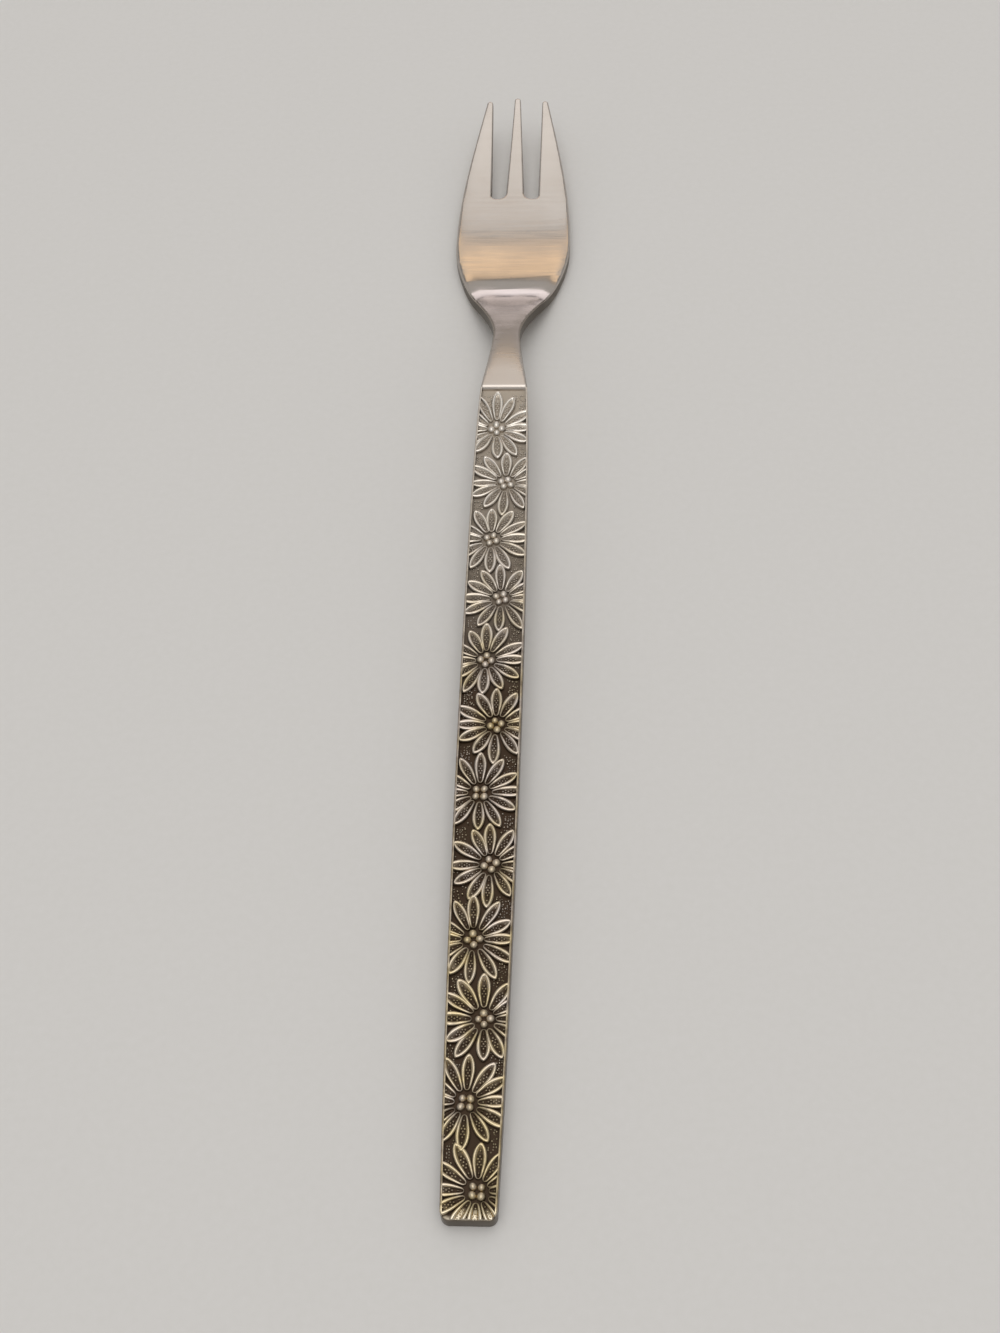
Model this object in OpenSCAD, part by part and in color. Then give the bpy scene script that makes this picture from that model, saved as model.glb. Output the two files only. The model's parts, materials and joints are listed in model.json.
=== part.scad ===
// Oyster fork: a slim three-tined seafood fork, bent from one flat blank.
// The handle carries a sunk panel filled with a chain of raised daisies.
// It lies face up on a table, tines towards +Y, resting on its butt and on the belly of the bowl.
// All sizes are in millimetres.

/* [Handle] */
// Length of the handle, from the butt to the joint line below the neck
handle_len = 96.5; // [80:0.5:120]
// Thickness of the handle
handle_t = 2.2; // [1.6:0.1:3.2]
// Width across the butt
butt_w = 4.95; // [4.2:0.05:7]
// Radius of the two corners of the butt
butt_r = 0.8; // [0.3:0.1:1.6]
// Width of the handle half way along its curved sides
handle_w = 6.45; // [5.2:0.05:9]
// Width of the handle at the joint line
joint_w = 5.4; // [4.2:0.05:8]
// How far up from the butt the sides pull towards the full width
butt_swell = 32; // [15:1:45]
// How far down from the joint line the sides pull towards the full width
joint_swell = 11; // [6:1:30]

/* [Panel] */
// Depth of the sunk panel below the face of the neck
panel_depth = 0.5; // [0.2:0.05:0.8]
// Width of the plain rail left along each long edge
rail_w = 0.2; // [0.1:0.05:0.6]

/* [Daisies] */
// From the joint line to the centre of the first daisy
first_daisy = 6.3; // [5:0.1:10]
// From the butt to the centre of the last daisy
last_daisy = 2.5; // [2:0.1:6]
// How far the daisies step to each side of the centre line
zigzag = 0.65; // [0.5:0.05:0.7]
// Number of petals on a daisy
petal_count = 12; // [10:1:14]
// Clear ring between the beads and the inner ends of the petals
petal_clear = 0.1; // [0.05:0.05:0.4]
// How far the petal tips pass the halfway line to the next daisy
petal_mesh = 0.35; // [0:0.05:0.4]
// Gap between two petals half way along them
petal_gap = 0.25; // [0.1:0.05:0.5]
// How far the widest place of a petal lies outside its middle
petal_out = 0.2; // [0.1:0.02:0.3]
// How much the round tip of a petal is narrower than the petal, on each side
petal_blunt = 0.08; // [0.04:0.01:0.1]
// Width of the raised rim round each petal
rim_w = 0.24; // [0.15:0.01:0.35]
// Height of the petal rims above the panel
rim_h = 0.36; // [0.15:0.05:0.6]
// Height of the dished floor of each petal above the panel
petal_floor = 0.12; // [0.05:0.01:0.14]
// Number of beads at the centre of a daisy
bead_count = 4; // [3:1:5]
// Diameter of a bead
bead_d = 0.8; // [0.4:0.02:0.84]
// Gap between neighbouring beads
bead_gap = 0.05; // [0.05:0.01:0.3]
// Height of a bead above the panel
bead_h = 0.5; // [0.4:0.02:0.6]

/* [Neck] */
// Radius of the edge where the face of the neck steps down to the panel
step_r = 0.35; // [0.1:0.05:0.45]
// Straight length of the neck before it bends down
neck_run = 2.6; // [1:0.1:6]
// Width of the neck at its waist
neck_w = 3.2; // [2.4:0.1:5]
// From the joint line to the waist of the neck
neck_waist = 9.7; // [6:0.1:13]
// Lean of the neck's sides at the joint line, in degrees
neck_lean = 7; // [0:0.5:12]
// How far the neck's sides run straight at the joint line and at the waist
neck_pull = 3.1; // [2:0.1:5]
// Radius of the bend from the neck down to the ramp, on the face
neck_bend_r = 33; // [20:1:45]
// Slope of the ramp below the line of the handle, in degrees
ramp_angle = 27; // [15:1:35]
// Straight length of the ramp
ramp_len = 1; // [0.5:0.5:6]

/* [Bowl] */
// Radius of the bend at the foot of the ramp, on the face
foot_bend_r = 13; // [6:1:18]
// Angle that the foot of the ramp bends back through, in degrees
foot_angle = 23.5; // [10:0.5:32]
// Radius of the long curve of the bowl and tines, on the face
bowl_r = 115; // [80:5:200]
// Length of the bowl and tines along that curve
bowl_len = 32.1; // [28:0.1:40]
// Thickness of the ramp and bowl
head_t = 1.7; // [1.2:0.1:2.6]
// Greatest width of the bowl
bowl_w = 14.5; // [11:0.1:20]
// From the tips back to the widest place of the bowl
bowl_widest = 25.9; // [22:0.1:28]
// How far the sides run straight on from the waist before they open out
shoulder_in = 4.7; // [2:0.1:7]
// How far the shoulders curve before they reach the widest place
shoulder_out = 7.7; // [5:0.1:11]
// How far the bowl's sides run straight on from the widest place
bowl_pull = 6.1; // [3:0.1:8]

/* [Tines] */
// Length of the tines, from the tips to the roots of the slots
tine_len = 17.3; // [12:0.1:20]
// How much shorter the outer tines are than the middle one
outer_short = 0.5; // [0:0.1:2]
// Radius of the rounded tips
tip_r = 0.4; // [0.2:0.05:0.5]
// Thickness at the tips
tip_t = 1; // [0.6:0.1:1.2]
// From the centre line to the inner side of an outer tine, at the tip
slot_tip = 3.3; // [2.6:0.1:4.5]
// From the centre line to the inner side of an outer tine, at the root
slot_root = 3.05; // [3:0.05:4.2]
// Width of the middle tine at its root
mid_root_w = 2.4; // [1.6:0.1:2.6]
// Radius at the root of a slot, on the side of the outer tine
outer_root_r = 0.6; // [0.2:0.05:0.8]
// Radius at the root of a slot, on the side of the middle tine
mid_root_r = 1.1; // [0.3:0.05:1.3]
// Lean of the outer tines' sides at the tip, in degrees
tine_lean = 12; // [4:0.5:16]
// How far the outer tines' sides run straight back from the tip
tine_pull = 13; // [6:0.1:14]

/* [Hidden] */
NODES = ["fork_head", "handle_bar",
    "daisy_01", "daisy_02", "daisy_03", "daisy_04", "daisy_05", "daisy_06",
    "daisy_07", "daisy_08", "daisy_09", "daisy_10", "daisy_11", "daisy_12"];
$fn = 96;
polished = "#c8c0b8";
bronzed = "#7d7265";
worn = "#b9ae9f";

// Cuts and clipping shapes run past what they cut by this much
past = 1;
// Steps along a curved side, a bend and a small round
side_steps = 24;
bend_steps = 10;
round_steps = 6;

// Curves in the plane of the blank
function cubic(a, b, c, d, steps) = [for (k = [0 : steps])
    let (t = k / steps, s = 1 - t)
    s * s * s * a + 3 * s * s * t * b + 3 * s * t * t * c + t * t * t * d];
function arc(centre, r, from, to) = [for (k = [0 : round_steps])
    let (a = from + (to - from) * k / round_steps)
    centre + r * [cos(a), sin(a)]];
function unit(v) = v / norm(v);
function turn(a, b) = atan2(a.x * b.y - a.y * b.x, a * b);
function round_corner(before, corner, after, r) =
    let (u = unit(before - corner), v = unit(after - corner))
    let (half = acos(u * v) / 2)
    let (centre = corner + unit(u + v) * r / sin(half))
    let (start = corner + u * r / tan(half) - centre, stop = corner + v * r / tan(half) - centre)
    let (from = atan2(start.y, start.x))
    arc(centre, r, from, from + turn(start, stop));
function mirrored(side) = [for (k = [len(side) - 1 : -1 : 0]) [-side[k].x, side[k].y]];

// The face line of the head in side view: each place is [along the handle, up, direction]
function run(from, length) = [from.x + length * cos(from.z), from.y + length * sin(from.z), from.z];
function bend(from, r, angle) = [for (k = [1 : bend_steps])
    let (side = sign(angle), a = from.z + angle * k / bend_steps)
    [from.x + side * r * (sin(a) - sin(from.z)), from.y - side * r * (cos(a) - cos(from.z)), a]];
joint = [handle_len, 0, 0];
neck_end = run(joint, neck_run);
neck_bend = bend(neck_end, neck_bend_r, -ramp_angle);
ramp_top = neck_bend[bend_steps - 1];
ramp_foot = run(ramp_top, ramp_len);
foot_bend = bend(ramp_foot, foot_bend_r, foot_angle);
bowl_bend = bend(foot_bend[bend_steps - 1], bowl_r, bowl_len / bowl_r * 180 / PI);
face_line = concat([joint, neck_end], neck_bend, [ramp_foot], foot_bend, bowl_bend);
step_edge = arc([handle_len + step_r, -step_r], step_r, 180, 90);
tip_y = face_line[len(face_line) - 1].x;
root_y = tip_y - tine_len;

// The back line follows the face at the local thickness
thickness = [[handle_len, handle_t], [neck_end.x, handle_t], [ramp_foot.x, head_t],
    [root_y, head_t], [tip_y, tip_t]];
back_line = [for (p = face_line)
    let (t = lookup(p.x, thickness))
    [p.x + t * sin(p.z), p.y - t * cos(p.z)]];

// The rest pose: the fork tips about its butt until its belly is level with the butt
rest_tilt = -min([for (p = back_line) atan2(p.y + handle_t, p.x)]);
reach = max([for (p = concat(face_line, back_line))
    min(p.x, tip_y) * cos(rest_tilt) - p.y * sin(rest_tilt)]);

// Sides of the handle, from the butt to the joint line. The middle of a cubic curve is an eighth of its
// two ends and three eighths of its two pulls, so the pulls reach out past the full width
swell = (handle_w / 2 - (butt_w + joint_w) / 16) * 4 / 3;
handle_side = cubic([butt_w / 2, 0], [swell, butt_swell], [swell, handle_len - joint_swell],
    [joint_w / 2, handle_len], side_steps);
butt_corner = round_corner([0, 0], [butt_w / 2, 0], [swell, butt_swell], butt_r);
handle_half = concat(butt_corner, [for (p = handle_side) if (p.y > 2 * butt_r) p]);

// Right half of the head's outline, from the joint line to the tip of the middle tine
waist = [neck_w / 2, handle_len + neck_waist];
widest = [bowl_w / 2, tip_y - bowl_widest];
outer_cap = [slot_tip + tip_r, tip_y - outer_short - tip_r];
mid_cap = [0, tip_y - tip_r];
outer_root = [slot_root, root_y];
mid_root = [mid_root_w / 2, root_y];
head_half = concat(
    cubic([joint_w / 2, handle_len],
        [joint_w / 2, handle_len] + neck_pull * [-sin(neck_lean), cos(neck_lean)],
        waist - [0, neck_pull], waist, round_steps),
    cubic(waist, waist + [0, shoulder_in], widest - [0, shoulder_out], widest, side_steps),
    cubic(widest, widest + [0, bowl_pull],
        outer_cap + [tip_r, 0] + tine_pull * [sin(tine_lean), -cos(tine_lean)],
        outer_cap + [tip_r, 0], side_steps),
    arc(outer_cap, tip_r, 0, 180),
    round_corner(outer_cap - [tip_r, 0], outer_root, mid_root, outer_root_r),
    round_corner(outer_root, mid_root, mid_cap + [tip_r, 0], mid_root_r),
    arc(mid_cap, tip_r, 0, 90));

// Daisies: their pitch along the panel, and the petals that fill it
daisy_count = len(NODES) - 2;
daisy_pitch = (handle_len - first_daisy - last_daisy) / (daisy_count - 1);
bead_ring = (bead_d + bead_gap) / 2 / sin(180 / bead_count);
petal_start = bead_ring + bead_d / 2 + petal_clear;
petal_tip = daisy_pitch / 2 + petal_mesh;
petal_mid = (petal_start + petal_tip) / 2;
petal_w = 2 * petal_mid * sin(180 / petal_count) - petal_gap;
petal_wide = petal_mid + petal_out;
petal_in = petal_wide - petal_start;
petal_arc_r = (petal_in * petal_in + petal_w * petal_w / 4) / petal_w;
petal_tip_r = petal_w / 2 - petal_blunt;
petal_cap = petal_tip - petal_tip_r;

module rest_pose() {
    translate([0, -reach / 2, handle_t * cos(rest_tilt)])
        rotate([rest_tilt, 0, 0])
            children();
}

// Outline of a blank that is the same on both sides of the centre line
module blank(half) {
    polygon(concat(half, mirrored(half)));
}

module panel_strip(inset, overrun) {
    side = [for (p = handle_side) p - [inset, 0]];
    first = side[0] - [0, overrun];
    last = side[len(side) - 1] + [0, overrun];
    blank(concat([first], side, [last]));
}

// Bowl, tines and neck: the blank cut to its outline and bent along the side view
module fork_head() {
    color(polished)
        rest_pose()
            intersection() {
                translate([-bowl_w, 0, 0])
                    rotate([90, 0, 90])
                        linear_extrude(2 * bowl_w)
                            polygon(concat(
                                step_edge,
                                [for (p = face_line) if (p.x > handle_len) [p.x, p.y]],
                                [for (k = [len(back_line) - 1 : -1 : 0]) back_line[k]]));
                translate([0, 0, -handle_len])
                    linear_extrude(2 * handle_len)
                        blank(head_half);
            }
}

// Handle: a flat bar with a sunk panel between two thin rails
module handle_bar() {
    color(bronzed)
        rest_pose()
            difference() {
                translate([0, 0, -handle_t])
                    linear_extrude(handle_t)
                        blank(handle_half);
                translate([0, 0, -panel_depth])
                    linear_extrude(panel_depth + past)
                        panel_strip(rail_w, past);
            }
}

// Outline of a petal along +Y, drawn in by inset: two arcs that meet at its base, cut to a round tip
module petal_outline(inset) {
    arc_x = petal_arc_r - petal_w / 2;
    intersection() {
        translate([arc_x, petal_wide])
            circle(petal_arc_r - inset);
        translate([-arc_x, petal_wide])
            circle(petal_arc_r - inset);
        union() {
            translate([-petal_w, 0])
                square([2 * petal_w, petal_cap]);
            translate([0, petal_cap])
                circle(petal_tip_r - inset);
        }
    }
}

// One petal: a raised rim round a dished floor
module petal() {
    difference() {
        linear_extrude(rim_h)
            petal_outline(0);
        translate([0, 0, petal_floor])
            linear_extrude(rim_h)
                petal_outline(rim_w);
    }
}

// A bead: a ball that the panel cuts off below
module bead() {
    intersection() {
        translate([0, 0, bead_h - bead_d / 2])
            sphere(d = bead_d);
        translate([-bead_d, -bead_d, 0])
            cube([2 * bead_d, 2 * bead_d, 2 * bead_d]);
    }
}

// Daisy number i, counted from the joint line, seated on the panel and clipped at the rails
module daisy(i) {
    side = i % 2 == 1 ? -1 : 1;
    centre = [side * zigzag, handle_len - first_daisy - (i - 1) * daisy_pitch, 0];
    color(worn)
        rest_pose()
            translate([0, 0, -panel_depth]) {
                intersection() {
                    translate(centre)
                        for (k = [0 : petal_count - 1])
                            rotate([0, 0, 360 * k / petal_count - 90])
                                petal();
                    linear_extrude(rim_h)
                        intersection() {
                            blank(handle_half);
                            panel_strip(rail_w, past);
                        }
                }
                translate(centre)
                    for (k = [0 : bead_count - 1])
                        rotate([0, 0, 360 * k / bead_count])
                            translate([bead_ring, 0, 0])
                                bead();
            }
}

fork_head();
handle_bar();
for (i = [1 : daisy_count])
    daisy(i);
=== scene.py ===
# %% [markdown]
# An oyster fork with a daisy handle.
# The real fork is one strip of stainless steel. A press cuts its outline, bends its head and strikes a
# chain of daisies into the handle, and the low ground between the petals is then toned dark brown.
# The lesson follows the same order: cut a blank, bend it, raise the relief, tone it.
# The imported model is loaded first, because every piece has to lie where its solid lies.

# %% The frame
import json
import math
import random

import bmesh
import bpy
import numpy as np
from mathutils import Matrix, Vector
from mathutils.geometry import interpolate_bezier

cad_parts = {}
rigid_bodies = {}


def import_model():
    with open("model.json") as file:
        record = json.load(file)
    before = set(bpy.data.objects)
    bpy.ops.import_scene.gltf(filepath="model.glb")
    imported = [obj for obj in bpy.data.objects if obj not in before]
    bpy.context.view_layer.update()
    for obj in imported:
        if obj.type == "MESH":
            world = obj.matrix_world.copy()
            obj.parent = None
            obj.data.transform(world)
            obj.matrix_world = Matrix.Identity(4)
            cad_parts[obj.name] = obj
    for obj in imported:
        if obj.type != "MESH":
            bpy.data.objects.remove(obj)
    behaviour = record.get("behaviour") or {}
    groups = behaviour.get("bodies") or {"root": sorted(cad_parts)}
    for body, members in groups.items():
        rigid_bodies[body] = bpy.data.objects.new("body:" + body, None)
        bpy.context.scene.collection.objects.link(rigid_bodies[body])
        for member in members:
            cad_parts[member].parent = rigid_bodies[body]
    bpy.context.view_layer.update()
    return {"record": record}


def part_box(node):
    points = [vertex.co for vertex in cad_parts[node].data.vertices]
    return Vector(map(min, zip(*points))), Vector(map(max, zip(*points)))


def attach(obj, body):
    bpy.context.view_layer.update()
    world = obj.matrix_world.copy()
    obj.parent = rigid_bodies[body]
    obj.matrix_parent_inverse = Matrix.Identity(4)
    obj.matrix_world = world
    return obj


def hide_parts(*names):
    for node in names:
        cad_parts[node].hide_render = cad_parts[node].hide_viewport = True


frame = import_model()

# %% [markdown]
# The fork lies a little tilted, because its butt and the belly of its bowl touch the table.
# Modelling on that slope would be awkward, so each piece is made on a flat bench, in millimetres:
# butt at y = 0, tines towards +y, the face of the handle at z = 0.
# The last step of each piece seats it: it is scaled to metres, tilted, moved, and the move is applied.
# The slope comes from the back of the handle, which the record gives as the face to rest on.

# %% The bench and the seat
MM = 0.001
TOUCH = 1e-4
handle_t = 2.2
handle_len = 96.5
tilt = math.asin(frame["record"]["mounts"][0]["axis"][1])
butt_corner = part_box("handle_bar")[0]
bench_origin = Vector((0, butt_corner[1], handle_t * MM * math.cos(tilt)))


def only(*pieces):
    """Selects these pieces alone, the first one active."""
    bpy.ops.object.select_all(action="DESELECT")
    for piece in pieces:
        piece.select_set(True)
    bpy.context.view_layer.objects.active = pieces[0]


def apply_place(piece):
    """Moves a piece's place, turn and size into its mesh."""
    only(piece)
    bpy.ops.object.transform_apply(location=True, rotation=True, scale=True)


def seat(piece):
    """Lays a piece from the bench into the frame."""
    piece.scale = (MM, MM, MM)
    piece.rotation_euler = (tilt, 0, 0)
    piece.location = bench_origin
    apply_place(piece)


print("the handle rises by", round(math.degrees(tilt), 2), "degrees")

# %% [markdown]
# An outline is a list of knots: a place, and the steps to the handle where the curve arrives and to the
# one where it leaves. A straight side has no handles. Only the right half of each outline is drawn, and the
# left half is its mirror image, because the press tool is cut evenly too.

# %% Outlines
NO_STEP = Vector((0, 0))


def knot(x, y, arrive=NO_STEP, leave=NO_STEP):
    """A knot of an outline: its place and the steps to its two handles."""
    return Vector((x, y)), Vector(arrive), Vector(leave)


def round_corner(before, corner, after, radius):
    """The two knots of an arc that rounds a corner between two straight sides."""
    back = (Vector(before) - Vector(corner)).normalized()
    on = (Vector(after) - Vector(corner)).normalized()
    half = back.angle(on) / 2
    reach = radius / math.tan(half)
    pull = radius * 4 / 3 * math.tan((math.pi - 2 * half) / 4)
    start = Vector(corner) + back * reach
    stop = Vector(corner) + on * reach
    return [(start, NO_STEP, -back * pull), (stop, -on * pull, NO_STEP)]


def both_sides(half):
    """The right half of an outline, then its mirror image back to the start."""
    flip = Vector((-1, 1))
    left = [(place * flip, leave * flip, arrive * flip) for place, arrive, leave in half if place.x > 0]
    return half + left[::-1]


print("a round corner takes", len(round_corner((0, 1), (0, 0), (1, 0), 0.5)), "knots")

# %% [markdown]
# A blank is a flat plate with a curved outline and softly rounded edges, as a press and a buffing
# wheel leave it. It could be pushed out of a cube, but a filled Bezier curve is closer to the
# drawing board: few points, true curves, and the curve's own extrude and bevel give the plate its
# thickness and its rounded edges at once.

# %% Blanks
CURVE_STEPS = 20
EDGE_STEPS = 4
FLAT_ANGLE = math.radians(0.02)


def cut_blank(name, outline, thickness, edge_r):
    """A plate with this outline: its face at z = 0, its edges rounded by edge_r."""
    bpy.ops.object.select_all(action="DESELECT")
    bpy.ops.curve.primitive_bezier_curve_add(location=(0, 0, -thickness / 2))
    blank = bpy.context.object
    blank.name = name
    curve = blank.data
    spline = curve.splines[0]
    spline.bezier_points.add(len(outline) - len(spline.bezier_points))
    for point, (place, arrive, leave) in zip(spline.bezier_points, outline):
        point.handle_left_type = "FREE"
        point.handle_right_type = "FREE"
        point.co = place.to_3d()
        point.handle_left = (place + arrive).to_3d()
        point.handle_right = (place + leave).to_3d()
    spline.use_cyclic_u = True
    curve.dimensions = "2D"
    curve.fill_mode = "BOTH"
    curve.resolution_u = CURVE_STEPS
    curve.extrude = thickness / 2 - edge_r
    curve.bevel_depth = edge_r
    curve.bevel_resolution = EDGE_STEPS
    curve.offset = -edge_r
    only(blank)
    bpy.ops.object.convert(target="MESH")
    apply_place(blank)
    bpy.ops.object.mode_set(mode="EDIT")
    bpy.ops.mesh.select_all(action="SELECT")
    bpy.ops.mesh.remove_doubles(threshold=TOUCH)
    bpy.ops.mesh.dissolve_limited(angle_limit=FLAT_ANGLE)
    bpy.ops.mesh.normals_make_consistent(inside=False)
    bpy.ops.object.mode_set(mode="OBJECT")
    print(name, "blank:", [round(size, 2) for size in blank.dimensions], "mm")
    return blank


# %% [markdown]
# The side view of the head is a walk: a short way straight along the neck, down round its long bend,
# along a short ramp, back up round its foot, and on along the curve of bowl and tines. Along each stretch
# the slope changes evenly, so the slope is one line through a few knots, and small steps along it add up
# to the face. Its end says how long the blank may be, because the leaning tips reach a bit further.

# %% The side view of the head
neck_run = 2.6
neck_bend_r = 33
ramp_angle = math.radians(27)
ramp_len = 1
foot_bend_r = 13
foot_angle = math.radians(23.5)
bowl_r = 115
bowl_len = 32.1
tip_t = 1.0
WALK_STEPS = 2000

lengths = [neck_run, neck_bend_r * ramp_angle, ramp_len, foot_bend_r * foot_angle, bowl_len]
turns = [0, -ramp_angle, 0, foot_angle, bowl_len / bowl_r]
walk_ends = np.concatenate(([0], np.cumsum(lengths)))
slope_ends = np.concatenate(([0], np.cumsum(turns)))
walk = np.linspace(0, walk_ends[-1], WALK_STEPS)
slope = np.interp(walk, walk_ends, slope_ends)
mid_slope = (slope[1:] + slope[:-1]) / 2
face_y = handle_len + np.concatenate(([0], np.cumsum(np.cos(mid_slope)))) * walk[1]
face_z = np.concatenate(([0], np.cumsum(np.sin(mid_slope)))) * walk[1]
foot_y = np.interp(walk_ends[3], walk, face_y)
tip_y = face_y[-1] - tip_t * math.sin(slope[-1])
print("the face ends at", round(face_y[-1], 2), "mm, the blank at", round(tip_y, 2), "mm")

# %% [markdown]
# The head is the neck, the bowl and three tines. Seen from above, its side is three curves: in to
# the waist of the neck, out over the shoulder to the widest place, and in again to the outer tine.
# The slots between the tines have round roots, rounder on the side of the middle tine.

# %% The head's outline
joint_w = 5.4
neck_w = 3.2
neck_waist = 9.7
neck_lean = math.radians(7)
neck_pull = 3.1
bowl_w = 14.5
bowl_widest = 25.9
shoulder_in = 4.7
shoulder_out = 7.7
bowl_pull = 6.1
tine_len = 17.3
tine_lean = math.radians(12)
tine_pull = 13
outer_short = 0.5
tip_r = 0.4
slot_tip = 3.3
slot_root = 3.05
mid_root_w = 2.4
outer_root_r = 0.6
mid_root_r = 1.1
past = 1
QUARTER_PULL = 0.5523

cap_pull = QUARTER_PULL * tip_r
neck_step = (-neck_pull * math.sin(neck_lean), neck_pull * math.cos(neck_lean))
tine_step = (tine_pull * math.sin(tine_lean), -tine_pull * math.cos(tine_lean))
root_y = face_y[-1] - tine_len
widest_y = face_y[-1] - bowl_widest
outer_y = tip_y - outer_short
head_half = [
    knot(joint_w / 2, handle_len - past),
    knot(joint_w / 2, handle_len, leave=neck_step),
    knot(neck_w / 2, handle_len + neck_waist, arrive=(0, -neck_pull), leave=(0, shoulder_in)),
    knot(bowl_w / 2, widest_y, arrive=(0, -shoulder_out), leave=(0, bowl_pull)),
    knot(slot_tip + 2 * tip_r, outer_y - tip_r, arrive=tine_step, leave=(0, cap_pull)),
    knot(slot_tip + tip_r, outer_y, arrive=(cap_pull, 0), leave=(-cap_pull, 0)),
    knot(slot_tip, outer_y - tip_r, arrive=(0, cap_pull)),
    *round_corner((slot_tip, outer_y), (slot_root, root_y), (mid_root_w / 2, root_y), outer_root_r),
    *round_corner((slot_root, root_y), (mid_root_w / 2, root_y), (tip_r, tip_y - tip_r), mid_root_r),
    knot(tip_r, tip_y - tip_r, leave=(0, cap_pull)),
    knot(0, tip_y, arrive=(cap_pull, 0), leave=(-cap_pull, 0)),
]
print(len(head_half), "knots for half a head, widest at", round(widest_y, 2), "mm")

# %% [markdown]
# The blank starts a little inside the handle, so that its lower end can roll down to the sunk panel.
# It is drawn longer there and trimmed square, because a curve's bevel would overlap itself at a sharp
# corner.

# %% The head's blank
edge_r = 0.26
overlap = 0.2


def trim(piece, place, outward):
    """Cuts off what lies beyond a plane and closes the cut."""
    only(piece)
    bpy.ops.object.mode_set(mode="EDIT")
    bpy.ops.mesh.select_all(action="SELECT")
    bpy.ops.mesh.bisect(plane_co=place, plane_no=outward, clear_outer=True, use_fill=True,
                        threshold=TOUCH)
    bpy.ops.object.mode_set(mode="OBJECT")


head = cut_blank("fork_head_polished", both_sides(head_half), handle_t, edge_r)
trim(head, (0, handle_len - overlap, 0), (0, -1, 0))
print("head trimmed:", len(head.data.polygons), "faces")

# %% [markdown]
# A flat plate has no corners inside it that could move, so it can't bend yet. Bisect cuts it into
# rows and columns without changing its shape. Bisect is used because loop cut needs a window.
# The rows lie closer where the face will roll down at the joint line.

# %% Rows and columns to bend
row_step = 0.6
column_step = 0.46
half_columns = 14.5
roll_w = 0.34
roll_step = 0.06
SLIVER = 1e-3


def cut_across(piece, axis, first, last, step):
    """Cuts a mesh through at even places along an axis, keeps both sides and merges slivers."""
    only(piece)
    bpy.ops.object.mode_set(mode="EDIT")
    bpy.ops.mesh.select_all(action="SELECT")
    for place in np.arange(first, last, step):
        bpy.ops.mesh.bisect(plane_co=axis * place, plane_no=axis, threshold=TOUCH)
        bpy.ops.mesh.select_all(action="SELECT")
    bpy.ops.mesh.remove_doubles(threshold=SLIVER)
    bpy.ops.object.mode_set(mode="OBJECT")


column_reach = half_columns * column_step
cut_across(head, Vector((0, 1, 0)), handle_len - roll_step, handle_len + roll_w, roll_step)
cut_across(head, Vector((0, 1, 0)), handle_len + row_step, tip_y, row_step)
cut_across(head, Vector((1, 0, 0)), -column_reach, column_reach + TOUCH, column_step)
print("cut into", len(head.data.polygons), "faces")

# %% [markdown]
# A buffing wheel takes most off near an edge. To follow it, two helpers draw an outline as points and
# measure how far a place lies from it, and two more read a mesh's points as a table and write them back.

# %% Distances and points


def drawn_line(outline):
    """Points along an outline, from its first knot to its last."""
    points = [outline[0][0]]
    for (a, _, leave), (b, arrive, _) in zip(outline, outline[1:]):
        points += interpolate_bezier(a, a + leave, b + arrive, b, CURVE_STEPS)[1:]
    return np.array(points)


def line_distance(spots, line):
    """How far each spot lies from a line of points."""
    nearest = np.full(len(spots), np.inf)
    for start, stop in zip(line, line[1:]):
        run = stop - start
        share = np.clip((spots - start) @ run / (run @ run), 0, 1)
        gap = spots - start - share[:, None] * run
        nearest = np.minimum(nearest, np.hypot(gap[:, 0], gap[:, 1]))
    return nearest


def mesh_places(piece):
    """The places of a mesh's points as rows of x, y and z."""
    flat = np.empty(3 * len(piece.data.vertices))
    piece.data.vertices.foreach_get("co", flat)
    return flat.reshape(-1, 3)


def put_places(piece, places):
    """Moves a mesh's points to these places."""
    piece.data.vertices.foreach_set("co", places.ravel())
    piece.data.update()


print("half the head is drawn with", len(drawn_line(head_half)), "points")

# %% [markdown]
# The face of the real fork falls away softly over its outer millimetre, most of all round the shoulders.
# The slots stay crisp. At the joint line the face rolls down to the panel, and that roll is the bright
# line across the fork. It could be sculpted with a brush, but a rule is more even: every point moves by
# how near it is to the outer side, and near the joint by how near it is to the step. The short tongue
# inside the bar is made a little slimmer, so that it doesn't show through the bar's sides.

# %% Softened edges
neck_soft = 4
soft_y = [handle_len + roll_w, handle_len + neck_soft, foot_y, widest_y, tip_y]
soft_widths = [0.85, 1.0, 1.3, 0.85, 0.85]
soft_drops = [0, 0.2, 0.36, 0.16, 0.14]
roll_drop = 0.2
tongue_mid = np.array((0, handle_len, -handle_t / 2))
tongue_share = 0.98
OUTER_KNOTS = 5

places = mesh_places(head)
side = (places[:, 2] + handle_t / 2) / (handle_t / 2)
soft_w = np.interp(places[:, 1], soft_y, soft_widths)
soft_drop = np.interp(places[:, 1], soft_y, soft_drops)
from_side = line_distance(np.abs(places[:, :2]), drawn_line(head_half[:OUTER_KNOTS]))
near_edge = np.clip(1 - from_side / soft_w, 0, 1)
near_step = np.clip((handle_len + roll_w - places[:, 1]) / roll_w, 0, None)
places[:, 2] -= side * soft_drop * near_edge ** 2
places[:, 2] -= np.clip(side, 0, 1) * roll_drop * near_step ** 2
in_bar = places[:, 1] < handle_len - TOUCH
places[in_bar] = (places[in_bar] - tongue_mid) * tongue_share + tongue_mid
put_places(head, places)
print("softened", int((near_edge > 0).sum()), "of", len(places), "points")

# %% [markdown]
# Now the plate is bent along the side view. The sheet also thins, from the handle to the bowl and
# again along the tines, and the sides of the bowl are drawn up a little. One rule says where each place
# of the flat plate goes. It sinks the face by a hair, so that the head stays inside its solid.

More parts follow.
